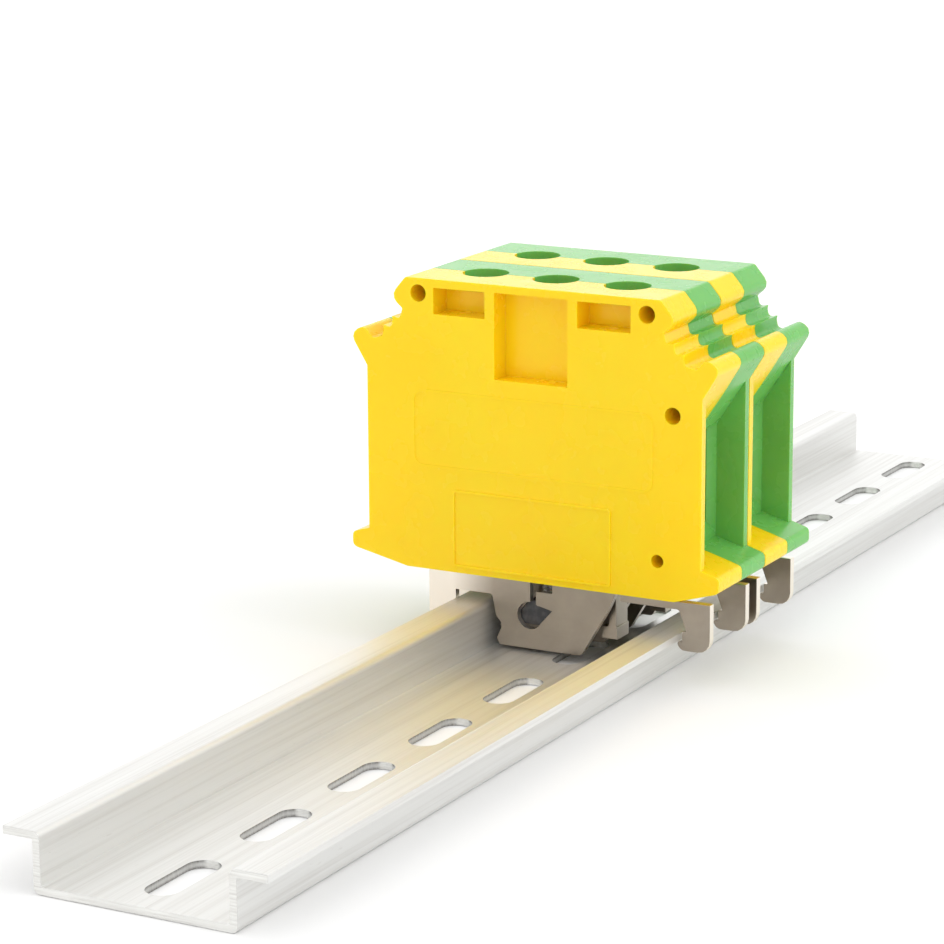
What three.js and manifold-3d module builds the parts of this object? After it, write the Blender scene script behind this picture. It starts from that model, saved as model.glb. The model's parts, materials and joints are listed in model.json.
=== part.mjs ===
// Two protective-earth rail terminal blocks clamped side by side on a slotted 35 mm mounting rail.
// Millimetres, +Z up. X runs across the rail, Y along it. The origin is on the surface that the rail
// lies on, in the middle of the blocks' width and halfway along the rail.
import * as THREE from "three";
import { mergeVertices } from "three/addons/utils/BufferGeometryUtils.js";
import Module from "manifold-3d";

const wasm = await Module();
wasm.setup();

// Rail: top-hat section 35 x 7.5 in 1 mm sheet, with a row of fixing slots.
const RAIL = { width: 35, channel: 27, height: 7.5, sheet: 1, length: 240, bend: 0.8, x: 4.3 };
const SLOT = { width: 4.2, length: 12.4, pitch: 20 };

// Block: two half shells that meet on the middle plane, and the gap that separates the blocks.
const BLOCK = { half: 7.55, seam: 0.03, wall: 1.2, bottom: 12, top: 52.6, pitch: 15.3, y: -9.15 };
const CLAMP_X = 10.72;
const BORE_R = 3.2;

// Wire entry: a hooded recess at each end, a funnel and a straight passage to the clamp.
const RECESS = { floor: 21.1, hoodZ: 33.6, rampZ: 17.9, half: 6.35 };
const PASSAGE = { half: 4.9, low: 20.2, high: 33.2, mouth: 20.3 };

// Clamp: a cage that a captive screw lifts against the fixed current bar.
const CHAMBER = { inner: 6.3, outer: 15.1, low: 18.2, high: 47.2 };
const CAGE = { x: 8.4, y: 12, low: 18.6, floor: 20.6, ceiling: 35.6, high: 38.6, window: 5 };
const BAR = { halfLength: 17.3, halfWidth: 4.7, low: 31.6, high: 34 };
const CLAMP_SCREW = { r: 3, tip: 34.1, top: 49.6, slotWidth: 1.2, slotDepth: 1.8 };

// Foot: a fixed claw of two cheeks, a moving claw on two legs, and the screw and nut between them.
const CHEEK = { outer: 4.1, inner: 3.1, top: 13.9, web: 12.9 };
const LEG = { outer: 6.4, inner: 5.2, left: 18.5, right: 26.2 };
const WEB = { low: 10.7, high: 11.85, left: 12.9, right: 19.6 };
const TONGUE = { half: 2.95, slot: 2.15 };
const FOOT_SCREW = { r: 2, tip: 1.8, headR: 3, headLow: 34.1, headHigh: 38.1 };
const NUT = { low: 4.7, high: 8.1, right: 4.2, half: 2.9, slope: 0.8, flankX: -5.4 };
const SLEEVE = { r: 3.5, bore: 2.3, gap: 0.05 };

const ROUND = 24;
const OVERSHOOT = 1;

const FINISH = {
  yellow: { color: 0xffcf22, roughness: 0.45, metalness: 0 },
  green: { color: 0x5fc46b, roughness: 0.45, metalness: 0 },
  aluminium: { color: 0xc4c4c0, roughness: 0.4, metalness: 1 },
  nickel: { color: 0xb0a798, roughness: 0.35, metalness: 1 },
  zinc: { color: 0xbfc3c6, roughness: 0.3, metalness: 1 },
  black: { color: 0x4b4b4e, roughness: 0.5, metalness: 0.6 },
  copper: { color: 0xcfc4b4, roughness: 0.35, metalness: 1 },
};

// ---- solids -------------------------------------------------------------------------------------

// Turns a closed three.js geometry into a solid that can be cut and joined.
function solid(geometry) {
  const bare = geometry.index ? geometry.toNonIndexed() : geometry;
  bare.deleteAttribute("normal");
  bare.deleteAttribute("uv");
  const merged = mergeVertices(bare, 1e-5);
  const vertProperties = new Float32Array(merged.attributes.position.array);
  const triVerts = new Uint32Array(merged.index.array);
  return new wasm.Manifold(new wasm.Mesh({ numProp: 3, vertProperties, triVerts }));
}

// Turns a finished solid back into a three.js geometry.
function geometryOf(body) {
  const mesh = body.getMesh();
  const geometry = new THREE.BufferGeometry();
  geometry.setAttribute("position", new THREE.BufferAttribute(new Float32Array(mesh.vertProperties), 3));
  geometry.setIndex(new THREE.BufferAttribute(new Uint32Array(mesh.triVerts), 1));
  geometry.computeVertexNormals();
  return geometry;
}

function box(x0, x1, y0, y1, z0, z1) {
  const geometry = new THREE.BoxGeometry(x1 - x0, y1 - y0, z1 - z0);
  geometry.translate((x0 + x1) / 2, (y0 + y1) / 2, (z0 + z1) / 2);
  return solid(geometry);
}

// A box whose face at x1 has its own half width and height range.
function funnel(x0, half0, low0, high0, x1, half1, low1, high1) {
  const geometry = new THREE.BoxGeometry(1, 1, 1);
  const place = geometry.attributes.position;
  for (let i = 0; i < place.count; i += 1) {
    const far = place.getX(i) > 0;
    const half = far ? half1 : half0;
    const y = place.getY(i) > 0 ? half : -half;
    const z = place.getZ(i) > 0 ? (far ? high1 : high0) : (far ? low1 : low0);
    place.setXYZ(i, far ? x1 : x0, y, z);
  }
  return solid(geometry);
}

// An upright cylinder.
function post(x, y, r, z0, z1, segments = ROUND) {
  const geometry = new THREE.CylinderGeometry(r, r, z1 - z0, segments);
  geometry.rotateX(Math.PI / 2);
  geometry.translate(x, y, (z0 + z1) / 2);
  return solid(geometry);
}

// A cylinder that lies along Y.
function pin(x, z, r, y0, y1, segments = 16) {
  const geometry = new THREE.CylinderGeometry(r, r, y1 - y0, segments);
  geometry.translate(x, (y0 + y1) / 2, z);
  return solid(geometry);
}

// Rounds the corners of an outline. Each corner is [x, z] or [x, z, radius].
function rounded(corners, steps = 3) {
  const points = [];
  corners.forEach(([x, z, r = 0], i) => {
    const corner = new THREE.Vector2(x, z);
    if (r === 0) {
      points.push(corner);
      return;
    }
    const before = new THREE.Vector2(...corners[(i + corners.length - 1) % corners.length]);
    const after = new THREE.Vector2(...corners[(i + 1) % corners.length]);
    const toBefore = before.sub(corner).normalize();
    const toAfter = after.sub(corner).normalize();
    const halfAngle = Math.acos(THREE.MathUtils.clamp(toBefore.dot(toAfter), -1, 1)) / 2;
    const middle = toBefore.clone().add(toAfter).normalize();
    const centre = corner.clone().addScaledVector(middle, r / Math.sin(halfAngle));
    const start = corner.clone().addScaledVector(toBefore, r / Math.tan(halfAngle)).sub(centre);
    const end = corner.clone().addScaledVector(toAfter, r / Math.tan(halfAngle)).sub(centre);
    const from = start.angle();
    let turn = end.angle() - from;
    if (turn > Math.PI) turn -= 2 * Math.PI;
    if (turn < -Math.PI) turn += 2 * Math.PI;
    for (let k = 0; k <= steps; k += 1) {
      const angle = from + (turn * k) / steps;
      points.push(new THREE.Vector2(centre.x + r * Math.cos(angle), centre.y + r * Math.sin(angle)));
    }
  });
  return points;
}

// Extrudes an outline in the XZ plane from y0 to y1.
function prism(points, y0, y1) {
  const shape = new THREE.Shape(points);
  const geometry = new THREE.ExtrudeGeometry(shape, { depth: y1 - y0, bevelEnabled: false });
  geometry.rotateX(Math.PI / 2);
  geometry.translate(0, y1, 0);
  return solid(geometry);
}

function mirrorX(points) {
  return points.map(([x, z, r]) => [-x, z, r]).reverse();
}

function cutAll(body, tools) {
  return tools.reduce((rest, tool) => rest.subtract(tool), body);
}

function part(name, body, finish) {
  const mesh = new THREE.Mesh(geometryOf(body), new THREE.MeshStandardMaterial(FINISH[finish]));
  mesh.name = name;
  return mesh;
}

// ---- rail ---------------------------------------------------------------------------------------

// The section's right half from the middle of the floor, outside first and then back along the inside.
function railOutline() {
  const { width, channel, height, sheet, bend } = RAIL;
  const edge = width / 2;
  const wall = channel / 2;
  const right = [
    [wall, 0, bend],
    [wall, height - sheet],
    [edge, height - sheet],
    [edge, height],
    [wall - sheet, height, bend],
    [wall - sheet, sheet],
  ];
  return rounded([...right, ...mirrorX(right)]);
}

function fixingSlot(y) {
  const reach = (SLOT.length - SLOT.width) / 2;
  const r = SLOT.width / 2;
  const ends = [-reach, reach].map((dy) => post(0, y + dy, r, -OVERSHOOT, RAIL.sheet + OVERSHOOT, 20));
  const middle = box(-r, r, y - reach, y + reach, -OVERSHOOT, RAIL.sheet + OVERSHOOT);
  return middle.add(ends[0]).add(ends[1]);
}

function rail() {
  const section = prism(railOutline(), -RAIL.length / 2, RAIL.length / 2);
  const count = RAIL.length / SLOT.pitch;
  const slots = Array.from({ length: count }, (_, i) => fixingSlot((i - (count - 1) / 2) * SLOT.pitch));
  const mesh = part("mounting_rail", cutAll(section, slots), "aluminium");
  mesh.position.x = RAIL.x;
  return mesh;
}

// ---- block shells -------------------------------------------------------------------------------

// The grip between the shoulder and the ear: scooped steps, each with a small crest at its outer edge.
function gripSteps() {
  const steps = [];
  for (let i = 0; i < 3; i += 1) {
    const x = 19.75 + 1.4 * i;
    const z = 47.8 - 1.35 * i;
    steps.push([x, z], [x + 0.2, z - 1.05, 0.55]);
    if (i < 2) steps.push([x + 1.5, z - 0.8]);
  }
  return steps;
}

// The outline's right side, from the top corner down to the foot of the lug.
function rightSide(bottomCorner) {
  const ear = [[24.4, 43.7, 0.4], [25.7, 45.3, 0.9], [27.9, 44.1, 1.2]];
  const lug = [[25.25, 39.8], [25.25, 16.75], [27.9, 15.95, 0.7], [27.9, 13.9, 0.8]];
  const shoulder = [[19.1, BLOCK.top, 0.6], [21.5, 49.8, 1.3], [19.6, 48.2, 0.3]];
  return [...shoulder, ...gripSteps(), ...ear, ...lug, [bottomCorner, BLOCK.bottom]];
}

function blockOutline() {
  return rounded([...rightSide(21.4), ...mirrorX(rightSide(19.2))]);
}

// The hooded recess at one end, with its sloping roof and ramp.
function entryRecess() {
  const outside = 26;
  const points = [[RECESS.floor, RECESS.rampZ], [25.25, 16.75], [outside, 16.75], [outside, 39.8],
    [25.25, 39.8], [RECESS.floor, RECESS.hoodZ]];
  return prism(rounded(points), -RECESS.half, RECESS.half);
}

function entryPassage() {
  const { half, low, high, mouth } = PASSAGE;
  const cone = funnel(mouth, half, low, high, RECESS.floor + 0.01, half + 1.2, low - 1.4, high + 0.3);
  return box(CHAMBER.outer - OVERSHOOT, mouth + 0.01, -half, half, low, high).add(cone);
}

// Everything that is hollow on the right of the middle, in both half shells.
function clampCavity() {
  const { inner, outer, low, high } = CHAMBER;
  const chamber = box(inner, outer, -RECESS.half, RECESS.half, low, high);
  const bore = post(CLAMP_X, 0, BORE_R, high - OVERSHOOT, BLOCK.top + OVERSHOOT);
  return entryRecess().add(entryPassage()).add(chamber).add(bore);
}

// The slot that the current bar lies in, the foot screw's bore and the well that the foot sits in.
function middleCavity() {
  const reach = BAR.halfLength + 0.4;
  const slotHalf = BAR.halfWidth + 0.1;
  const barSlot = box(-reach, reach, -slotHalf, slotHalf, BAR.low - 0.2, BAR.high + 0.3);
  const screwBore = post(0, 0, BORE_R, BAR.high, BLOCK.top + OVERSHOOT);
  const sleeveBore = post(0, 0, SLEEVE.r + 0.2, BLOCK.bottom, BAR.low);
  const wellHalf = CHEEK.outer + 0.3;
  const well = box(-18.2, 12.4, -wellHalf, wellHalf, BLOCK.bottom - OVERSHOOT, CHEEK.top + 0.3);
  return barSlot.add(screwBore).add(sleeveBore).add(well);
}

// Marker pockets and the recessed panel that are sunk into an outer face at y = side * half.
function faceRecesses(side) {
  const depth = (x0, x1, z0, z1, sunk) => {
    const ys = [side * (BLOCK.half + OVERSHOOT), side * (BLOCK.half - sunk)].sort((a, b) => a - b);
    return box(x0, x1, ys[0], ys[1], z0, z1);
  };
  const panel = depth(-5.5, 5.5, 39.6, 51.5, 3.3);
  const pockets = [depth(-14.8, -6.95, 47.8, 51.4, 3.75), depth(6.95, 14.8, 47.8, 51.4, 3.75)];
  return panel.add(pockets[0]).add(pockets[1]);
}

// Where the rear shell's pegs enter the front shell: x, z and hole radius.
const PEGS = [[-17.15, 50.5, 1.2], [17.15, 50.5, 1.2], [21, 37.3, 1.15], [18.9, 17.3, 0.9],
  [-21, 37.3, 1.15], [-18.9, 17.3, 0.9]];
const THROUGH_HOLES = 4;
const PEG_LENGTH = 1.6;

function shellBlank(y0, y1) {
  const cavity = clampCavity();
  return cutAll(prism(blockOutline(), y0, y1), [cavity, cavity.mirror([1, 0, 0]), middleCavity()]);
}

function frontShell() {
  const blank = shellBlank(-BLOCK.half, -BLOCK.seam).subtract(faceRecesses(-1));
  const holes = PEGS.map(([x, z, r], i) => {
    const start = i < THROUGH_HOLES ? -BLOCK.half - OVERSHOOT : -PEG_LENGTH - 0.4;
    return pin(x, z, r, start, OVERSHOOT);
  });
  return cutAll(blank, holes);
}

function rearShell() {
  const blank = shellBlank(BLOCK.seam, BLOCK.half).subtract(faceRecesses(1));
  const pegs = PEGS.map(([x, z, r]) => pin(x, z, r - 0.12, -PEG_LENGTH, BLOCK.seam + 0.5));
  return pegs.reduce((body, peg) => body.add(peg), blank);
}

// ---- conductors and clamps ----------------------------------------------------------------------

function currentBar() {
  const { halfLength, halfWidth, low, high } = BAR;
  const blank = box(-halfLength, halfLength, -halfWidth, halfWidth, low, high);
  return blank.subtract(post(0, 0, FOOT_SCREW.r + 0.1, low - OVERSHOOT, high + OVERSHOOT));
}

// The tube that carries fault current and screw pull from the bar down to the foot.
function contactSleeve() {
  const low = CHEEK.top + SLEEVE.gap;
  const high = BAR.low - SLEEVE.gap;
  return post(0, 0, SLEEVE.r, low, high).subtract(post(0, 0, SLEEVE.bore, low - OVERSHOOT, high + OVERSHOOT));
}

function clampCage() {
  const { x, y, low, floor, ceiling, high, window } = CAGE;
  const blank = box(-x / 2, x / 2, -y / 2, y / 2, low, high);
  const opening = box(-x, x, -window, window, floor, ceiling);
  const thread = post(0, 0, CLAMP_SCREW.r + 0.08, ceiling - OVERSHOOT, high + OVERSHOOT);
  return blank.subtract(opening).subtract(thread);
}

function driverSlot(r, top) {
  const half = CLAMP_SCREW.slotWidth / 2;
  return box(-half, half, -r - OVERSHOOT, r + OVERSHOOT, top - CLAMP_SCREW.slotDepth, top + OVERSHOOT);
}

function clampScrew() {
  const { r, tip, top } = CLAMP_SCREW;
  return post(0, 0, r, tip, top).subtract(driverSlot(r, top));
}

// ---- foot ---------------------------------------------------------------------------------------

// One cheek of the fixed claw: an arm with a hook round the left flange, and a body in the channel.
function cheekOutline() {
  return rounded([[-17.7, CHEEK.top], [-17.7, 4.3, 0.8], [-11.3, 4.3, 0.8], [-11.3, 6.2, 0.3], [-13.5, 6.2],
    [-13.5, 8.6], [-7.8, 8.6, 0.4], [-7.2, 5.6], [-6.4, 4.7, 0.3], [-6.4, 3.9, 0.3], [-7.1, 2.4, 0.3],
    [-6.6, 1.55, 0.3], [5.9, 1.55, 0.6], [9.9, 8.3], [10.9, 10.5], [12, CHEEK.top]], 2);
}

// The snap hole in a cheek: a drop with its point to the right, a slit up to a square window.
function cheekOpening(y0, y1) {
  const point = prism(rounded([[-0.9, 4.6], [1.5, 7.3], [-0.7, 7.8]]), y0, y1);
  const drop = pin(-1.95, 6.25, 1.95, y0, y1).add(point);
  const slit = box(-1.9, -1, y0, y1, 7.6, 10);
  const window = box(-1.9, 1.5, y0, y1, 9.75, 11.6);
  return drop.add(slit).add(window);
}

function fixedClaw() {
  const { inner, outer, top, web } = CHEEK;
  const opening = (y0, y1) => cheekOpening(y0 - OVERSHOOT, y1 + OVERSHOOT);
  const cheek = (y0, y1) => prism(cheekOutline(), y0, y1).subtract(opening(y0, y1));
  const bridge = box(-12, 9, -inner - 0.5, inner + 0.5, web, top);
  const hole = post(0, 0, FOOT_SCREW.r + 0.3, web - OVERSHOOT, top + OVERSHOOT);
  return cheek(-outer, -inner).add(cheek(inner, outer)).add(bridge).subtract(hole);
}

// One leg of the moving claw: it drops past the right flange and hooks under its edge.
function legOutline() {
  const { left, right } = LEG;
  return rounded([[right, WEB.high], [left, WEB.high], [left, WEB.low], [21.6, WEB.low, 0.5], [22.7, 7.8],
    [22.1, 7.75], [22.1, 6.35], [21.25, 6.35, 0.3], [21.8, 5.1, 1.1], [right, 5.1, 1.8]], 4);
}

// The sloping end tab that the nut pushes, parallel to the nut's flank.
function tabOutline() {
  const { low, high, slope, flankX } = NUT;
  const face = (z) => flankX - 0.05 + slope * (z - low);
  const thick = 1.2;
  return rounded([[face(high), WEB.high], [face(high) - thick, WEB.high], [face(high) - thick, high],
    [face(3.9) - thick, 3.9], [face(3.9), 3.9], [face(high), high]]);
}

function movingClaw() {
  const { low, high, left, right } = WEB;
  const { half, slot } = TONGUE;
  const web = box(left, right, -LEG.outer, LEG.outer, low, high);
  const tongue = box(-3, left + OVERSHOOT, -half, half, low, high);
  const tab = prism(tabOutline(), -half, half);
  const rib = box(8.9, 10.1, -1.8, 1.8, 5, low + 0.2).add(box(7.9, 10.3, -1.8, 1.8, 3.8, 5.6));
  const legs = [prism(legOutline(), -LEG.outer, -LEG.inner), prism(legOutline(), LEG.inner, LEG.outer)];
  const joined = [tongue, tab, rib, ...legs].reduce((body, piece) => body.add(piece), web);
  return joined.subtract(box(-6, 2.5, -slot, slot, 6.2, high + OVERSHOOT));
}

function wedgeNut() {
  const { low, high, right, half, slope, flankX } = NUT;
  const outline = [[flankX, low], [right, low], [right, high], [flankX + slope * (high - low), high]];
  const thread = post(0, 0, FOOT_SCREW.r + 0.08, low - OVERSHOOT, high + OVERSHOOT);
  return prism(rounded(outline), -half, half).subtract(thread);
}

function footScrew() {
  const { r, tip, headR, headLow, headHigh } = FOOT_SCREW;
  const shank = post(0, 0, r, tip, headLow + 0.5);
  return shank.add(post(0, 0, headR, headLow, headHigh)).subtract(driverSlot(headR, headHigh));
}

// ---- assembly -----------------------------------------------------------------------------------

function block(name, y) {
  const group = new THREE.Group();
  const place = (suffix, body, finish, x = 0) => {
    const mesh = part(`${name}_${suffix}`, body, finish);
    mesh.position.x = x;
    group.add(mesh);
  };
  place("yellow_shell", frontShell(), "yellow");
  place("green_shell", rearShell(), "green");
  place("current_bar", currentBar(), "copper");
  place("contact_sleeve", contactSleeve(), "copper");
  for (const [hand, x] of [["left", -CLAMP_X], ["right", CLAMP_X]]) {
    place(`${hand}_clamp_cage`, clampCage(), "zinc", x);
    place(`${hand}_clamp_screw`, clampScrew(), "zinc", x);
  }
  place("fixed_claw", fixedClaw(), "nickel");
  place("moving_claw", movingClaw(), "nickel");
  place("wedge_nut", wedgeNut(), "black");
  place("foot_screw", footScrew(), "zinc");
  group.position.y = y;
  return group;
}

const group = new THREE.Group();
group.add(rail());
group.add(block("front", BLOCK.y));
group.add(block("rear", BLOCK.y + BLOCK.pitch));

export default group;
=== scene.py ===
"""Looks of two protective-earth rail terminal blocks on a slotted mounting rail."""
import json
import math

import bmesh
import bpy
from mathutils import Matrix, Vector

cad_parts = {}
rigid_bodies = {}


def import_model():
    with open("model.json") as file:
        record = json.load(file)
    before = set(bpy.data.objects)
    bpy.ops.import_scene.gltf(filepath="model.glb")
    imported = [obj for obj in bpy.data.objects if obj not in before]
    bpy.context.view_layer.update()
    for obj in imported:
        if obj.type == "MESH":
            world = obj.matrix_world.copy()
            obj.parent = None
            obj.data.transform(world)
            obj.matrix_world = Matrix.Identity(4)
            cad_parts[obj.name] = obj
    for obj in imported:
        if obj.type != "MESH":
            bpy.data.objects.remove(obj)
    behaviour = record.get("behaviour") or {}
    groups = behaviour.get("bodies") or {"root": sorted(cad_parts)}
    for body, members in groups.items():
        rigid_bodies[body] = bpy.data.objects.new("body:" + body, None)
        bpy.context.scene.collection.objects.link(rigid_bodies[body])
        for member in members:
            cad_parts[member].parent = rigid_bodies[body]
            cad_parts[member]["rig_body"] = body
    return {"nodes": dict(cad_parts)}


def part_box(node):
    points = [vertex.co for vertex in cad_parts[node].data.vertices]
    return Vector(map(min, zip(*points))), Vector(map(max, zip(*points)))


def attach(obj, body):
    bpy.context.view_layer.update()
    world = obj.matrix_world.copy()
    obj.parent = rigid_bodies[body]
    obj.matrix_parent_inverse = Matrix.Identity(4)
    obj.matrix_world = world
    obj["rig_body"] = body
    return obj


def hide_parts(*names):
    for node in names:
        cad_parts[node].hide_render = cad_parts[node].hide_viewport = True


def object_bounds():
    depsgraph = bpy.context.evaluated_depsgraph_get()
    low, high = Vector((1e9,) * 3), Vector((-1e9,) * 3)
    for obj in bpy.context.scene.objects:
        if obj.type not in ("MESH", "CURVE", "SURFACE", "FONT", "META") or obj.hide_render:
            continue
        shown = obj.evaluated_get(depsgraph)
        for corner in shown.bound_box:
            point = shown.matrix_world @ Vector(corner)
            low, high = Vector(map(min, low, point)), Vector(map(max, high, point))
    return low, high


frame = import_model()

bl_info = {
    "name": "Rail Terminal Blocks",
    "version": (1, 0, 0),
    "blender": (4, 5, 0),
    "location": "3D View > Sidebar > Terminal Blocks",
    "description": "Finishes two earth terminal blocks and their mounting rail",
    "category": "Object",
}

CAD_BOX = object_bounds()
MM = 0.001
BLOCKS = ("front", "rear")
HANDS = ("left", "right")

# An edge that turns by more than EDGE_ANGLE is broken, and one past SHADE_ANGLE is shaded sharp.
EDGE_ANGLE = math.radians(38)
SHADE_ANGLE = math.radians(32)

# Corners nearer than WELD metres are one corner, and faces within FLAT_ANGLE are one flat face.
WELD = 1e-6
FLAT_ANGLE = math.radians(0.5)

# How many times rounder than a punched edge these are: folded claws, bars and sleeves, and cages.
CLAW_EDGES = 1.5
BAR_EDGES = 2
CAGE_EDGES = 3

# Moulded panel frames on a housing's face: left, right, low and high in millimetres, and corner radius.
TYPE_PANEL = (-12.05, 12.05, 12.8, 23.7, 0.5)
RATING_PANEL = (-18.2, 18.2, 26.4, 37.3, 1.6)

# The panels on a front face, each with its share of the frame height.
PANELS = ((TYPE_PANEL, 1.0), (RATING_PANEL, 0.5))

# Where the fixed claw is paler towards its hook, and where that fades out, in millimetres across the rail.
PALE_HOOK_SPAN = (-14.0, -7.5)

# The rail's slots in millimetres: how far from the centre line their walls can lie, and the middle of
# the sheet's thickness.
SLOT_REACH = 2.4
SHEET_MIDDLE = 0.5

# Slotted screws in millimetres. The shank runs on into the head, and has a little play in its nut.
CLAMP_SHANK = 3
FOOT_SHANK = 2
HEAD_HEIGHT = 4
HEAD_EDGE = 0.18
DRIVER_SLOT_WIDTH = 1.2
DRIVER_SLOT_DEPTH = 1.8
SHANK_INTO_HEAD = 0.4
SHANK_PLAY = 0.01

# Threads: depth for a pitch of 1, rings to a turn, sides, and the share of the radius left at an end.
THREAD_DEPTH = 0.6
THREAD_RINGS = 8
SCREW_SIDES = 32
END_CHAMFER = 0.85
AT_END = 1e-7

# The board under the object: its width in metres, and its gap to the rail in millimetres.
BOARD_WIDTH = 8
BOARD_GAP = 0.05

# The soft lights in metres: where each stands, what it points at and how wide it is.
BACK_PANEL = ((-0.9, 1.8, 0.5), (0, 0, 0.05), 1.6)
HIGH_RIGHT_BOX = ((1.0, 0.15, 1.0), (0, 0, 0.03), 0.9)

# The camera: where it stands in millimetres, and its turn, downward tilt and roll in degrees.
CAMERA_PLACE = (208.9, -418.3, 137.1)
CAMERA_TURN = 28.48
CAMERA_TILT = 13.61
CAMERA_ROLL = -0.34

# The Mix node's colour inputs and colour output.
MIX_FIRST = 6
MIX_SECOND = 7
MIX_RESULT = 2


# ---- small helpers ------------------------------------------------------------------------------

def linear(hex_colour):
    """The linear RGB of an sRGB hex colour."""
    channels = [int(hex_colour[i:i + 2], 16) / 255 for i in (0, 2, 4)]
    return tuple(c / 12.92 if c <= 0.04045 else ((c + 0.055) / 1.055) ** 2.4 for c in channels)


def per_mm(size):
    """The texture scale that makes a pattern's features this many millimetres long."""
    return 1 / (size * MM)


def deselect():
    """Leaves edit mode and selects nothing."""
    if bpy.context.mode != "OBJECT":
        bpy.ops.object.mode_set(mode="OBJECT")
    bpy.ops.object.select_all(action="DESELECT")


def activate(obj):
    """Selects one object alone and makes it the active one."""
    deselect()
    obj.select_set(True)
    bpy.context.view_layer.objects.active = obj


def apply_modifier(obj, kind, **settings):
    """Adds a modifier with its settings to an object and applies it."""
    activate(obj)
    bpy.ops.object.modifier_add(type=kind)
    modifier = obj.modifiers[-1]
    for key, value in settings.items():
        setattr(modifier, key, value)
    bpy.ops.object.modifier_apply(modifier=modifier.name)


def break_edges(obj, radius, segments=2):
    """Rounds the sharp edges by a small radius."""
    apply_modifier(obj, "BEVEL", width=radius, segments=segments, limit_method="ANGLE",
                   angle_limit=EDGE_ANGLE, miter_outer="MITER_ARC")


def shade(obj):
    """Shades round stretches smooth and keeps flat faces flat."""
    activate(obj)
    bpy.ops.object.shade_smooth_by_angle(angle=SHADE_ANGLE)
    apply_modifier(obj, "WEIGHTED_NORMAL", keep_sharp=True, weight=100)


def weld(obj):
    """Merges a copied node's loose triangles into whole flat faces."""
    activate(obj)
    bpy.ops.object.mode_set(mode="EDIT")
    bpy.ops.mesh.select_all(action="SELECT")
    bpy.ops.mesh.remove_doubles(threshold=WELD)
    bpy.ops.mesh.dissolve_limited(angle_limit=FLAT_ANGLE)
    bpy.ops.object.mode_set(mode="OBJECT")


def copy_of(node, name):
    """A welded copy of a designed part, ready to be given its finer surface."""
    mesh = frame["nodes"][node].data.copy()
    mesh.materials.clear()
    piece = bpy.data.objects.new(name, mesh)
    bpy.context.scene.collection.objects.link(piece)
    weld(piece)
    return piece


def finish_piece(piece, material, node):
    """Shades a piece, gives it its material, hides the part that it stands for and makes it move with that
    part's body.
    """
    shade(piece)
    piece.data.materials.clear()
    piece.data.materials.append(material)
    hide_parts(node)
    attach(piece, frame["nodes"][node]["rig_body"])


# ---- material helpers ---------------------------------------------------------------------------

def add_node(tree, kind, inputs=None, **settings):
    """Adds a shader node, sets its properties and sets or links its inputs."""
    node = tree.nodes.new(kind)
    for key, value in settings.items():
        setattr(node, key, value)
    for key, value in (inputs or {}).items():
        if isinstance(value, bpy.types.NodeSocket):
            tree.links.new(value, node.inputs[key])
        else:
            node.inputs[key].default_value = value
    return node


def new_material(name):
    """A material with nothing but a surface shader."""
    material = bpy.data.materials.new(name)
    material.use_nodes = True
    tree = material.node_tree
    tree.nodes.clear()
    shader = add_node(tree, "ShaderNodeBsdfPrincipled")
    add_node(tree, "ShaderNodeOutputMaterial", {"Surface": shader.outputs[0]})
    return material, tree, shader


def noise(tree, place, size, stretch=(1, 1, 1), detail=3.0, roughness=0.5):
    """Noise with features `size` millimetres long, longer along an axis by its stretch."""
    scale = [per_mm(size * s) for s in stretch]
    mapped = add_node(tree, "ShaderNodeMapping", {"Vector": place, "Scale": scale})
    made = add_node(tree, "ShaderNodeTexNoise", {
        "Vector": mapped.outputs[0], "Scale": 1.0, "Detail": detail, "Roughness": roughness})
    return made.outputs[0]


def spread(tree, value, low, high, to_low, to_high):
    """Stretches the values between low and high to the range between to_low and to_high."""
    made = add_node(tree, "ShaderNodeMapRange", {
        "Value": value, "From Min": low, "From Max": high, "To Min": to_low, "To Max": to_high})
    return made.outputs[0]


def blend(tree, factor, first, second):
    """Mixes two colours, each of them an RGB tuple or a node's output."""
    first, second = ((*c, 1) if isinstance(c, tuple) else c for c in (first, second))
    made = add_node(tree, "ShaderNodeMix", {0: factor, MIX_FIRST: first, MIX_SECOND: second},
                    data_type="RGBA")
    return made.outputs[MIX_RESULT]


def math_node(tree, operation, first, second=0.0):
    return add_node(tree, "ShaderNodeMath", {0: first, 1: second}, operation=operation).outputs[0]


def object_place(tree):
    """Where a point lies on its piece."""
    return add_node(tree, "ShaderNodeTexCoord").outputs["Object"]


def face_along(tree, axis):
    """1 where the surface faces along an axis of the piece, 0 where it lies along it."""
    normal = add_node(tree, "ShaderNodeTexCoord").outputs["Normal"]
    parts = add_node(tree, "ShaderNodeSeparateXYZ", {0: normal})
    return math_node(tree, "ABSOLUTE", parts.outputs[axis])


def relief(tree, shader, height, depth, strength=1.0, below=None):
    """Turns a height into bumps this many millimetres deep."""
    inputs = {"Height": height, "Distance": depth * MM, "Strength": strength}
    if below is not None:
        inputs["Normal"] = below
    made = add_node(tree, "ShaderNodeBump", inputs)
    tree.links.new(made.outputs[0], shader.inputs["Normal"])
    return made.outputs[0]


# ---- materials ----------------------------------------------------------------------------------

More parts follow.
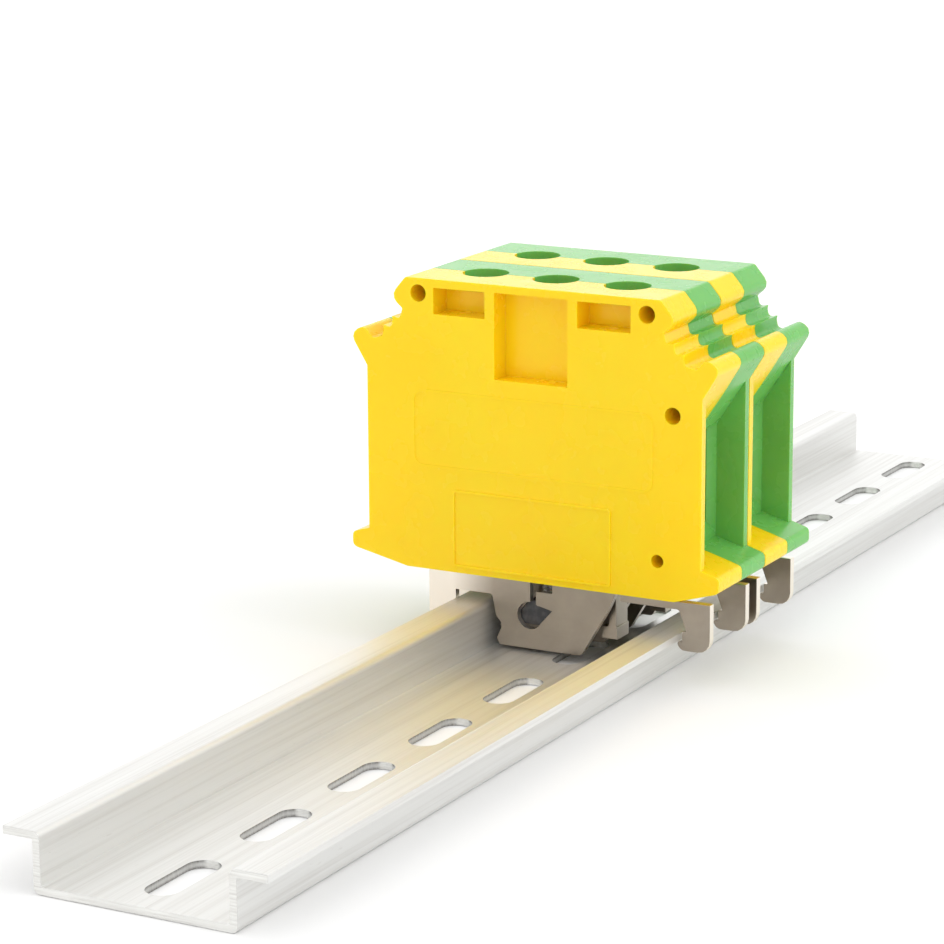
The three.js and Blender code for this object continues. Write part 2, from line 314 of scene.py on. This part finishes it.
def moulded_polyamide(name, colour, deep):
    """Polyamide 6.6 from a spark-eroded mould: satin, a little translucent, finely grained and clouded."""
    material, tree, shader = new_material(name)
    place = object_place(tree)
    clouds = noise(tree, place, 11, detail=2.0)
    grain = noise(tree, place, 0.22, detail=2.0)
    shine = noise(tree, place, 4, detail=3.0)
    tint = blend(tree, spread(tree, clouds, 0.35, 0.7, 0.0, 1.0), colour, deep)
    tree.links.new(tint, shader.inputs["Base Color"])
    tree.links.new(spread(tree, shine, 0.3, 0.7, 0.23, 0.3), shader.inputs["Roughness"])
    shader.inputs["IOR"].default_value = 1.5
    shader.inputs["Specular IOR Level"].default_value = 0.3
    shader.inputs["Subsurface Weight"].default_value = 0.5
    shader.inputs["Subsurface Radius"].default_value = (1.0, 0.45, 0.12)
    shader.inputs["Subsurface Scale"].default_value = 1.4 * MM
    relief(tree, shader, grain, 0.012, 0.6)
    return material


def drawn_aluminium(name, colour, streak, cut, punched, centre):
    """Drawn aluminium: fine lines and dull streaks along it, saw marks on its ends, and painted shade on
    its torn slot walls.
    """
    material, tree, shader = new_material(name)
    place = object_place(tree)
    lines = noise(tree, place, 0.28, stretch=(1, 160, 1), detail=3.0, roughness=0.6)
    bands = noise(tree, place, 0.9, stretch=(1, 70, 1), detail=3.0, roughness=0.6)
    specks = noise(tree, place, 0.5, stretch=(1, 6, 1), detail=3.0, roughness=0.7)
    marks = noise(tree, place, 0.3, stretch=(30, 1, 1), detail=3.0)
    tears = noise(tree, place, 0.25, stretch=(1, 1, 4), detail=3.0)
    sawn = spread(tree, face_along(tree, 1), 0.85, 0.95, 0.0, 1.0)
    worn = math_node(tree, "MULTIPLY", spread(tree, bands, 0.42, 0.72, 0.0, 0.8),
                     spread(tree, lines, 0.3, 0.7, 0.35, 1.0))
    skin = blend(tree, worn, colour, streak)
    skin = blend(tree, spread(tree, specks, 0.66, 0.78, 0.0, 0.5), skin, streak)
    # Painted shade: the slot walls take the dark punched colour, broken up by torn marks.
    skin = blend(tree, math_node(tree, "MULTIPLY", slot_wall_shade(tree, place, centre),
                                 spread(tree, tears, 0.25, 0.7, 0.55, 1.0)), skin, punched)
    ends = blend(tree, spread(tree, marks, 0.35, 0.8, 0.0, 0.8), cut, streak)
    tree.links.new(blend(tree, sawn, skin, ends), shader.inputs["Base Color"])
    shader.inputs["Metallic"].default_value = 0.82
    dull = math_node(tree, "MAXIMUM", spread(tree, lines, 0.3, 0.7, 0.46, 0.58),
                     math_node(tree, "MULTIPLY", sawn, 0.7))
    tree.links.new(dull, shader.inputs["Roughness"])
    drawn = relief(tree, shader, lines, 0.02, 0.6)
    relief(tree, shader, math_node(tree, "MULTIPLY", marks, sawn), 0.15, 1.0, below=drawn)
    return material


def slot_wall_shade(tree, place, centre):
    """Where shade is painted on the slots' punched walls: near the rail's centre line, and most of all at
    their torn rims.
    """
    parts = add_node(tree, "ShaderNodeSeparateXYZ", {0: place})
    aside = math_node(tree, "ABSOLUTE", math_node(tree, "SUBTRACT", parts.outputs[0], centre))
    near = math_node(tree, "LESS_THAN", aside, SLOT_REACH * MM)
    upright = spread(tree, face_along(tree, 2), 0.3, 0.6, 1.0, 0.0)
    above = math_node(tree, "SUBTRACT", parts.outputs[2], SHEET_MIDDLE * MM)
    off_middle = math_node(tree, "ABSOLUTE", above)
    # The painted shade is strongest at the rims, away from the middle of the sheet.
    rim_shade = spread(tree, off_middle, 0.12 * MM, 0.4 * MM, 0.35, 1.0)
    return math_node(tree, "MULTIPLY", math_node(tree, "MULTIPLY", near, upright), rim_shade)


def nickel_plated_steel(name, colour, shade_colour, pale_edge_highlight):
    """Punched steel strip with satin nickel plate: warm grey, paler towards the hook end, with painted
    highlights on its pale cut edges.
    """
    material, tree, shader = new_material(name)
    place = object_place(tree)
    clouds = noise(tree, place, 3.5, detail=3.0, roughness=0.5)
    scuffs = noise(tree, place, 0.3, stretch=(9, 1, 1), detail=3.0)
    face = blend(tree, spread(tree, clouds, 0.35, 0.7, 0.0, 0.6), colour, shade_colour)
    across = add_node(tree, "ShaderNodeSeparateXYZ", {0: place}).outputs[0]
    # Paler towards the hook end of the fixed claw.
    paler_to_hook = spread(tree, across, PALE_HOOK_SPAN[0] * MM, PALE_HOOK_SPAN[1] * MM, 0.9, 0.0)
    # Painted highlight: faces that don't face along Y, the cut edges and their rounding, get the pale edge
    # colour, which is partly their real cut finish.
    edge = spread(tree, face_along(tree, 1), 0.6, 0.97, 0.9, 0.0)
    pale_hook_and_highlight = math_node(tree, "MAXIMUM", paler_to_hook, edge)
    tree.links.new(blend(tree, pale_hook_and_highlight, face, pale_edge_highlight), shader.inputs["Base Color"])
    shader.inputs["Metallic"].default_value = 1.0
    tree.links.new(spread(tree, scuffs, 0.3, 0.75, 0.28, 0.42), shader.inputs["Roughness"])
    relief(tree, shader, scuffs, 0.012, 0.5)
    return material


def painted_shade_steel(name, colour, shade_colour):
    """Hardened steel coloured nearly black as painted shade for the wedge nuts in the claws' shadow, with a
    soft grey mottle.
    """
    material, tree, shader = new_material(name)
    place = object_place(tree)
    bloom = noise(tree, place, 0.9, detail=4.0)
    tree.links.new(blend(tree, spread(tree, bloom, 0.4, 0.75, 0.0, 1.0), colour, shade_colour),
                   shader.inputs["Base Color"])
    shader.inputs["Metallic"].default_value = 0.6
    tree.links.new(spread(tree, bloom, 0.3, 0.7, 0.4, 0.55), shader.inputs["Roughness"])
    relief(tree, shader, noise(tree, place, 0.1, detail=2.0), 0.006, 0.5)
    return material


def zinc_plated_steel(name, colour, shade_colour):
    """Machined steel with clear passivated zinc: bluish silver, slightly cloudy."""
    material, tree, shader = new_material(name)
    place = object_place(tree)
    clouds = noise(tree, place, 1.3, detail=3.0)
    tree.links.new(blend(tree, spread(tree, clouds, 0.35, 0.7, 0.0, 1.0), colour, shade_colour),
                   shader.inputs["Base Color"])
    shader.inputs["Metallic"].default_value = 1.0
    tree.links.new(spread(tree, clouds, 0.3, 0.7, 0.24, 0.38), shader.inputs["Roughness"])
    relief(tree, shader, noise(tree, place, 0.12, detail=2.0), 0.006, 0.5)
    return material


def tinned_copper(name, colour, shade_colour):
    """Copper bar with matt electroplated tin: soft pale grey with a warm cast where the plate is thin."""
    material, tree, shader = new_material(name)
    place = object_place(tree)
    clouds = noise(tree, place, 1.8, detail=4.0)
    tree.links.new(blend(tree, spread(tree, clouds, 0.45, 0.75, 0.0, 1.0), colour, shade_colour),
                   shader.inputs["Base Color"])
    shader.inputs["Metallic"].default_value = 1.0
    tree.links.new(spread(tree, clouds, 0.3, 0.7, 0.32, 0.45), shader.inputs["Roughness"])
    relief(tree, shader, noise(tree, place, 0.2, stretch=(12, 1, 1), detail=2.0), 0.008, 0.5)
    return material


def studio_white(name, colour):
    """Matt white sweep board under the object."""
    material, tree, shader = new_material(name)
    clouds = noise(tree, object_place(tree), 300, detail=1.0)
    shaded = tuple(0.98 * c for c in colour)
    tree.links.new(blend(tree, clouds, colour, shaded), shader.inputs["Base Color"])
    shader.inputs["Roughness"].default_value = 0.85
    shader.inputs["Specular IOR Level"].default_value = 0.1
    return material


def shared_material(name, make, *colours):
    """The material of that name, made the first time that it is asked for."""
    return bpy.data.materials.get(name) or make(name, *colours)


# ---- settings -----------------------------------------------------------------------------------

def colour_setting(label, about, hex_colour):
    """A colour in the panel."""
    return bpy.props.FloatVectorProperty(name=label, description=about, subtype="COLOR", size=3,
                                         min=0.0, max=1.0, default=linear(hex_colour))


def length_setting(label, about, millimetres):
    """A length in the panel."""
    return bpy.props.FloatProperty(name=label, description=about, unit="LENGTH", min=0.0,
                                   precision=6, default=millimetres * MM)


def power_setting(label, about, watts):
    """A light's power in the panel."""
    return bpy.props.FloatProperty(name=label, description=about, unit="POWER", min=0.0, default=watts)


class HousingSettings(bpy.types.PropertyGroup):
    yellow: colour_setting("Yellow", "Colour of the half housing at the front", "FFD712")
    yellow_deep: colour_setting("Yellow clouds", "Colour where the yellow plastic flowed thicker", "FFD30A")
    green: colour_setting("Green", "Colour of the half housing at the back", "6FBB5E")
    green_deep: colour_setting("Green clouds", "Colour where the green plastic flowed thicker", "68B557")
    edge_radius: length_setting("Edge radius", "Radius of the moulded edges", 0.2)
    frame_width: length_setting("Panel frame width", "Width of the raised line round a blank panel", 0.4)
    frame_height: length_setting("Panel frame height", "How far that line stands out", 0.17)


class RailSettings(bpy.types.PropertyGroup):
    aluminium: colour_setting("Aluminium", "Colour of the drawn surface", "E7E7E5")
    streak: colour_setting("Streaks", "Colour of the dull streaks along the rail", "D1CFCB")
    cut: colour_setting("Sawn end", "Colour of the sawn ends", "F2F2EF")
    # The slot walls' colour is painted shade in the slots.
    punched: colour_setting("Slot walls", "Colour of the punched walls of the slots", "7E7C78")
    edge_radius: length_setting("Edge radius", "Radius left on the rail's sharp edges", 0.13)


class MetalSettings(bpy.types.PropertyGroup):
    nickel: colour_setting("Nickel", "Colour of the claws' faces", "B0A597")
    nickel_shade: colour_setting("Nickel clouds", "Darker clouds in the claws' plate", "9C9184")
    # Painted highlight on the claws' edges over the paler cut metal. The hook end fades to this colour too.
    pale_edge_highlight: colour_setting("Sheared edge", "Colour of the claws' cut edges", "F6EEE2")
    zinc: colour_setting("Zinc", "Colour of the screws, nuts and cages", "C9CDD1")
    zinc_shade: colour_setting("Zinc clouds", "Darker clouds in the zinc", "B2B4B5")
    # The wedge nuts' near-black colours are painted shade, for nuts that sit in shadow inside the claws.
    nut_shade: colour_setting("Phosphate", "Colour of the blackened wedge nuts", "4B4B4E")
    bloom: colour_setting("Phosphate bloom", "Greyer bloom on the blackened steel", "6A6A6C")
    tin: colour_setting("Tin", "Colour of the bar and sleeve", "D6D2CA")
    tin_shade: colour_setting("Thin tin", "Colour where copper shows warm through the tin", "C9B49C")
    edge_radius: length_setting("Edge radius", "Radius left on punched edges", 0.14)
    clamp_pitch: length_setting("Clamp screw pitch", "Thread pitch of the clamp screws", 1.0)
    foot_pitch: length_setting("Foot screw pitch", "Thread pitch of the foot screw", 0.7)


class StudioSettings(bpy.types.PropertyGroup):
    board: colour_setting("Board", "Colour of the board under the object", "FAFAFA")
    sky: bpy.props.FloatProperty(name="Surround", description="Strength of the white surround",
                                 min=0.0, default=1.1)
    key: power_setting("High right", "Power of the soft box high at the right", 3.4)
    back: power_setting("Back", "Power of the white panel behind", 3.2)
    lens: bpy.props.FloatProperty(name="Lens", description="Focal length of the camera",
                                  unit="CAMERA", min=1.0, default=131.9)


# ---- rail ---------------------------------------------------------------------------------------

class BuildRail(bpy.types.Operator):
    """Finishes the slotted rail: broken edges on the flanges, slots and sawn ends"""
    bl_idname = "terminal_blocks.rail"
    bl_label = "Mounting rail"

    def execute(self, context):
        settings = context.scene.rail_settings
        piece = copy_of("mounting_rail", "slotted_rail")
        break_edges(piece, settings.edge_radius)
        material = shared_material("drawn_aluminium", drawn_aluminium, tuple(settings.aluminium),
                                   tuple(settings.streak), tuple(settings.cut), tuple(settings.punched),
                                   (piece.bound_box[0][0] + piece.bound_box[6][0]) / 2)
        finish_piece(piece, material, "mounting_rail")
        return {"FINISHED"}


# ---- housings -----------------------------------------------------------------------------------

def raised_line(panel, face_y, width, height):
    """A closed ring that stands out of a housing's front face and is sunk into it by as much."""
    left, right, low, high, corner = (v * MM for v in panel)
    deselect()
    bpy.ops.mesh.primitive_plane_add(size=1, rotation=(math.pi / 2, 0, 0),
                                     location=((left + right) / 2, face_y + height, (low + high) / 2))
    ring = bpy.context.object
    ring.scale = (right - left, high - low, 1)
    bpy.ops.object.transform_apply(location=True, rotation=True, scale=True)
    bpy.ops.object.mode_set(mode="EDIT")
    bpy.ops.mesh.select_all(action="SELECT")
    bpy.ops.mesh.bevel(offset=corner, segments=5, affect="VERTICES")
    bpy.ops.mesh.inset(thickness=width, depth=0)
    bpy.ops.mesh.delete(type="FACE")
    bpy.ops.mesh.select_all(action="SELECT")
    bpy.ops.mesh.extrude_region_move(TRANSFORM_OT_translate={"value": (0, -2 * height, 0)})
    bpy.ops.mesh.select_all(action="SELECT")
    bpy.ops.mesh.normals_make_consistent(inside=False)
    bpy.ops.object.mode_set(mode="OBJECT")
    apply_modifier(ring, "BEVEL", width=0.35 * height, segments=2, limit_method="ANGLE",
                   angle_limit=EDGE_ANGLE)
    return ring


def fuse(piece, tool):
    """Joins a tool's solid to a piece's and removes the tool."""
    apply_modifier(piece, "BOOLEAN", operation="UNION", solver="EXACT", object=tool)
    bpy.data.objects.remove(tool)


class BuildHousings(bpy.types.Operator):
    """Finishes the four half housings: moulded edges and the blank raised panel frames"""
    bl_idname = "terminal_blocks.housings"
    bl_label = "Half housings"

    def execute(self, context):
        settings = context.scene.housing_settings
        yellow = shared_material("moulded_polyamide_yellow", moulded_polyamide, tuple(settings.yellow),
                                 tuple(settings.yellow_deep))
        green = shared_material("moulded_polyamide_green", moulded_polyamide, tuple(settings.green),
                                tuple(settings.green_deep))
        for block in BLOCKS:
            self.half(settings, f"{block}_yellow_shell", yellow, "yellow_polyamide", PANELS)
            self.half(settings, f"{block}_green_shell", green, "green_polyamide", ())
        return {"FINISHED"}

    def half(self, settings, node, material, slot, panels):
        piece = copy_of(node, node.replace("shell", "housing"))
        break_edges(piece, settings.edge_radius)
        face_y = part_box(node)[0].y
        for panel, share in panels:
            height = share * settings.frame_height
            fuse(piece, raised_line(panel, face_y, settings.frame_width, height))
        finish_piece(piece, material, node)


# ---- foot, bar and cages ------------------------------------------------------------------------

class BuildFeet(bpy.types.Operator):
    """Finishes the fixed and moving claws that grip the rail"""
    bl_idname = "terminal_blocks.feet"
    bl_label = "Claws"

    def execute(self, context):
        settings = context.scene.metal_settings
        material = shared_material("nickel_plated_steel", nickel_plated_steel, tuple(settings.nickel),
                                   tuple(settings.nickel_shade), tuple(settings.pale_edge_highlight))
        for block in BLOCKS:
            for kind in ("fixed", "moving"):
                piece = copy_of(f"{block}_{kind}_claw", f"{block}_{kind}_rail_claw")
                break_edges(piece, CLAW_EDGES * settings.edge_radius)
                finish_piece(piece, material, f"{block}_{kind}_claw")
        return {"FINISHED"}


class BuildConductors(bpy.types.Operator):
    """Finishes the current bars and the sleeves that carry current down to the feet"""
    bl_idname = "terminal_blocks.conductors"
    bl_label = "Bars and sleeves"

    def execute(self, context):
        settings = context.scene.metal_settings
        material = shared_material("tinned_copper", tinned_copper, tuple(settings.tin),
                                   tuple(settings.tin_shade))
        for block in BLOCKS:
            for node, name in (("current_bar", "tinned_bar"), ("contact_sleeve", "tinned_sleeve")):
                piece = copy_of(f"{block}_{node}", f"{block}_{name}")
                break_edges(piece, BAR_EDGES * settings.edge_radius)
                finish_piece(piece, material, f"{block}_{node}")
        return {"FINISHED"}


class BuildCages(bpy.types.Operator):
    """Finishes the four lifting cages and the two wedge nuts"""
    bl_idname = "terminal_blocks.cages"
    bl_label = "Cages and nuts"

    def execute(self, context):
        settings = context.scene.metal_settings
        material = shared_material("zinc_plated_steel", zinc_plated_steel, tuple(settings.zinc),
                                   tuple(settings.zinc_shade))
        # The wedge nuts are coloured nearly black as painted shade.
        black = shared_material("painted_shade_steel", painted_shade_steel, tuple(settings.nut_shade),
                                tuple(settings.bloom))
        for block in BLOCKS:
            for hand in HANDS:
                piece = copy_of(f"{block}_{hand}_clamp_cage", f"{block}_{hand}_lifting_cage")
                break_edges(piece, CAGE_EDGES * settings.edge_radius, segments=3)
                finish_piece(piece, material, f"{block}_{hand}_clamp_cage")
            piece = copy_of(f"{block}_wedge_nut", f"{block}_draw_nut")
            break_edges(piece, settings.edge_radius)
            finish_piece(piece, black, f"{block}_wedge_nut")
        return {"FINISHED"}


# ---- screws -------------------------------------------------------------------------------------

def turned_rod(low, high, radius, rings):
    """A cylinder between two heights, cut into rings so that a thread can be rolled into it."""
    deselect()
    bpy.ops.mesh.primitive_cylinder_add(vertices=SCREW_SIDES, radius=radius, depth=high - low,
                                        location=(0, 0, (low + high) / 2))
    rod = bpy.context.object
    bpy.ops.object.transform_apply(location=True, rotation=True, scale=True)
    bpy.ops.object.mode_set(mode="EDIT")
    bpy.ops.mesh.select_all(action="DESELECT")
    bpy.ops.mesh.select_mode(type="EDGE")
    body = bmesh.from_edit_mesh(rod.data)
    for edge in body.edges:
        first, second = edge.verts
        edge.select = abs(first.co.z - second.co.z) > 0.5 * (high - low)
    bmesh.update_edit_mesh(rod.data)
    bpy.ops.mesh.subdivide(number_cuts=rings)
    bpy.ops.object.mode_set(mode="OBJECT")
    return rod


def roll_thread(rod, low, high, radius, pitch):
    """Presses a V thread into a rod, fading out within a pitch of either end."""
    depth = THREAD_DEPTH * pitch
    for vertex in rod.data.vertices:
        place = vertex.co
        reach = math.hypot(place.x, place.y)
        if reach < 0.5 * radius:
            continue
        turn = math.atan2(place.y, place.x) / math.tau
        phase = (place.z / pitch - turn) % 1
        # A V cut off at both ends, for the flats on the crest and in the root.
        groove = 1 - abs(2 * phase - 1)
        groove = min(1.0, max(0.0, 1.3 * groove - 0.15))
        fade = min(1.0, (place.z - low) / pitch, (high - place.z) / pitch)
        shrink = (radius - depth * groove * max(0.0, fade)) / reach
        chamfer = END_CHAMFER if min(place.z - low, high - place.z) < AT_END else 1.0
        place.x *= shrink * chamfer
        place.y *= shrink * chamfer


def slotted_head(low, high, radius, slot_width, slot_depth):
    """A cheese head with a broken rim and a screwdriver slot."""
    deselect()
    bpy.ops.mesh.primitive_cylinder_add(vertices=2 * SCREW_SIDES, radius=radius, depth=high - low,
                                        location=(0, 0, (low + high) / 2))
    head = bpy.context.object
    bpy.ops.object.transform_apply(location=True, rotation=True, scale=True)
    deselect()
    bpy.ops.mesh.primitive_cube_add(size=1, location=(0, 0, high))
    cutter = bpy.context.object
    cutter.scale = (slot_width, 3 * radius, 2 * slot_depth)
    bpy.ops.object.transform_apply(location=True, rotation=True, scale=True)
    apply_modifier(head, "BOOLEAN", operation="DIFFERENCE", solver="EXACT", object=cutter)
    bpy.data.objects.remove(cutter)
    break_edges(head, HEAD_EDGE * MM)
    return head


def slotted_screw(name, low, neck, high, shank_radius, head_radius, pitch):
    """A threaded shank under a slotted head, on the Z axis."""
    rings = int((neck - low) / pitch * THREAD_RINGS)
    overlap = SHANK_INTO_HEAD * MM
    rod = turned_rod(low, neck + overlap, shank_radius, rings)
    roll_thread(rod, low, neck + overlap, shank_radius, pitch)
    head = slotted_head(neck, high, head_radius, DRIVER_SLOT_WIDTH * MM, DRIVER_SLOT_DEPTH * MM)
    fuse(rod, head)
    rod.name = name
    return rod


def move_mesh(piece, x, y):
    """Moves a piece's points, and leaves its object where it is."""
    piece.data.transform(Matrix.Translation((x, y, 0)))


class BuildScrews(bpy.types.Operator):
    """Models the slotted clamp screws and foot screws with their threads"""
    bl_idname = "terminal_blocks.screws"
    bl_label = "Screws"

    def execute(self, context):
        settings = context.scene.metal_settings
        material = shared_material("zinc_plated_steel", zinc_plated_steel, tuple(settings.zinc),
                                   tuple(settings.zinc_shade))
        for block in BLOCKS:
            for hand in HANDS:
                node = f"{block}_{hand}_clamp_screw"
                name = f"{block}_{hand}_m6_screw"
                self.screw(node, name, settings.clamp_pitch, CLAMP_SHANK * MM, material)
            node = f"{block}_foot_screw"
            self.screw(node, f"{block}_m4_screw", settings.foot_pitch, FOOT_SHANK * MM, material)
        return {"FINISHED"}

    def screw(self, node, name, pitch, shank_radius, material):
        low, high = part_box(node)
        centre = (low + high) / 2
        neck = high.z - HEAD_HEIGHT * MM
        head_radius = (high.x - low.x) / 2
        shank_radius -= SHANK_PLAY * MM
        piece = slotted_screw(name, low.z, neck, high.z, shank_radius, head_radius, pitch)
        move_mesh(piece, centre.x, centre.y)
        finish_piece(piece, material, node)


# ---- studio -------------------------------------------------------------------------------------

def soft_box(name, place, aim, size, power):
    """A square soft light that points at a spot and isn't seen itself."""
    light = bpy.data.lights.new(name, "AREA")
    light.shape = "SQUARE"
    light.size = size
    light.energy = power
    lamp = bpy.data.objects.new(name, light)
    lamp.location = place
    lamp.rotation_euler = (Vector(aim) - Vector(place)).to_track_quat("-Z", "Y").to_euler()
    lamp.visible_camera = False
    bpy.context.scene.collection.objects.link(lamp)


def white_surround(strength):
    """Lights the object evenly from all round."""
    world = bpy.data.worlds.new("white_surround")
    world.use_nodes = True
    back = world.node_tree.nodes["Background"]
    back.inputs["Color"].default_value = (1, 1, 1, 1)
    back.inputs["Strength"].default_value = strength
    bpy.context.scene.world = world


class BuildStudio(bpy.types.Operator):
    """Sets the board, the soft lights and the camera"""
    bl_idname = "terminal_blocks.studio"
    bl_label = "Studio"

    def execute(self, context):
        settings = context.scene.studio_settings
        deselect()
        bpy.ops.mesh.primitive_plane_add(size=BOARD_WIDTH, location=(0, 0, CAD_BOX[0].z - BOARD_GAP * MM))
        board = context.object
        board.name = "white_board"
        board.data.materials.append(studio_white("matt_white_board", tuple(settings.board)))
        white_surround(settings.sky)
        soft_box("back_panel", *BACK_PANEL, settings.back)
        soft_box("high_right_box", *HIGH_RIGHT_BOX, settings.key)
        self.camera(context, settings)
        context.scene.view_settings.view_transform = "Standard"
        return {"FINISHED"}

    def camera(self, context, settings):
        data = bpy.data.cameras.new("camera")
        data.lens = settings.lens
        data.sensor_width = 36
        data.clip_start = 0.01
        camera = bpy.data.objects.new("camera", data)
        camera.location = Vector(CAMERA_PLACE) * MM
        turn = Matrix.Rotation(math.radians(CAMERA_TURN), 3, "Z")
        tilt = Matrix.Rotation(math.radians(90 - CAMERA_TILT), 3, "X")
        roll = Matrix.Rotation(math.radians(CAMERA_ROLL), 3, "Z")
        camera.rotation_euler = (turn @ tilt @ roll).to_euler()
        context.scene.collection.objects.link(camera)
        context.scene.camera = camera


# ---- panel and registration ---------------------------------------------------------------------

SETTINGS = {
    "housing_settings": HousingSettings,
    "rail_settings": RailSettings,
    "metal_settings": MetalSettings,
    "studio_settings": StudioSettings,
}
BUILDERS = (BuildStudio, BuildRail, BuildHousings, BuildFeet, BuildConductors, BuildCages, BuildScrews)


class TerminalBlocksPanel(bpy.types.Panel):
    """Lists the steps that finish the assembly"""
    bl_idname = "VIEW3D_PT_terminal_blocks"
    bl_label = "Terminal Blocks"
    bl_space_type = "VIEW_3D"
    bl_region_type = "UI"
    bl_category = "Terminal Blocks"

    def draw(self, context):
        for group in SETTINGS:
            owner = getattr(context.scene, group)
            box = self.layout.box()
            for key in owner.__annotations__:
                box.prop(owner, key)
        for builder in BUILDERS:
            self.layout.operator(builder.bl_idname)


def register():
    for group in SETTINGS.values():
        bpy.utils.register_class(group)
    for name, group in SETTINGS.items():
        setattr(bpy.types.Scene, name, bpy.props.PointerProperty(type=group))
    for item in (*BUILDERS, TerminalBlocksPanel):
        bpy.utils.register_class(item)


def unregister():
    for item in (TerminalBlocksPanel, *reversed(BUILDERS)):
        bpy.utils.unregister_class(item)
    for name, group in reversed(SETTINGS.items()):
        delattr(bpy.types.Scene, name)
        bpy.utils.unregister_class(group)


def main():
    register()
    bpy.ops.terminal_blocks.studio()
    bpy.ops.terminal_blocks.rail()
    bpy.ops.terminal_blocks.housings()
    bpy.ops.terminal_blocks.feet()
    bpy.ops.terminal_blocks.conductors()
    bpy.ops.terminal_blocks.cages()
    bpy.ops.terminal_blocks.screws()


if __name__ == "__main__":
    main()
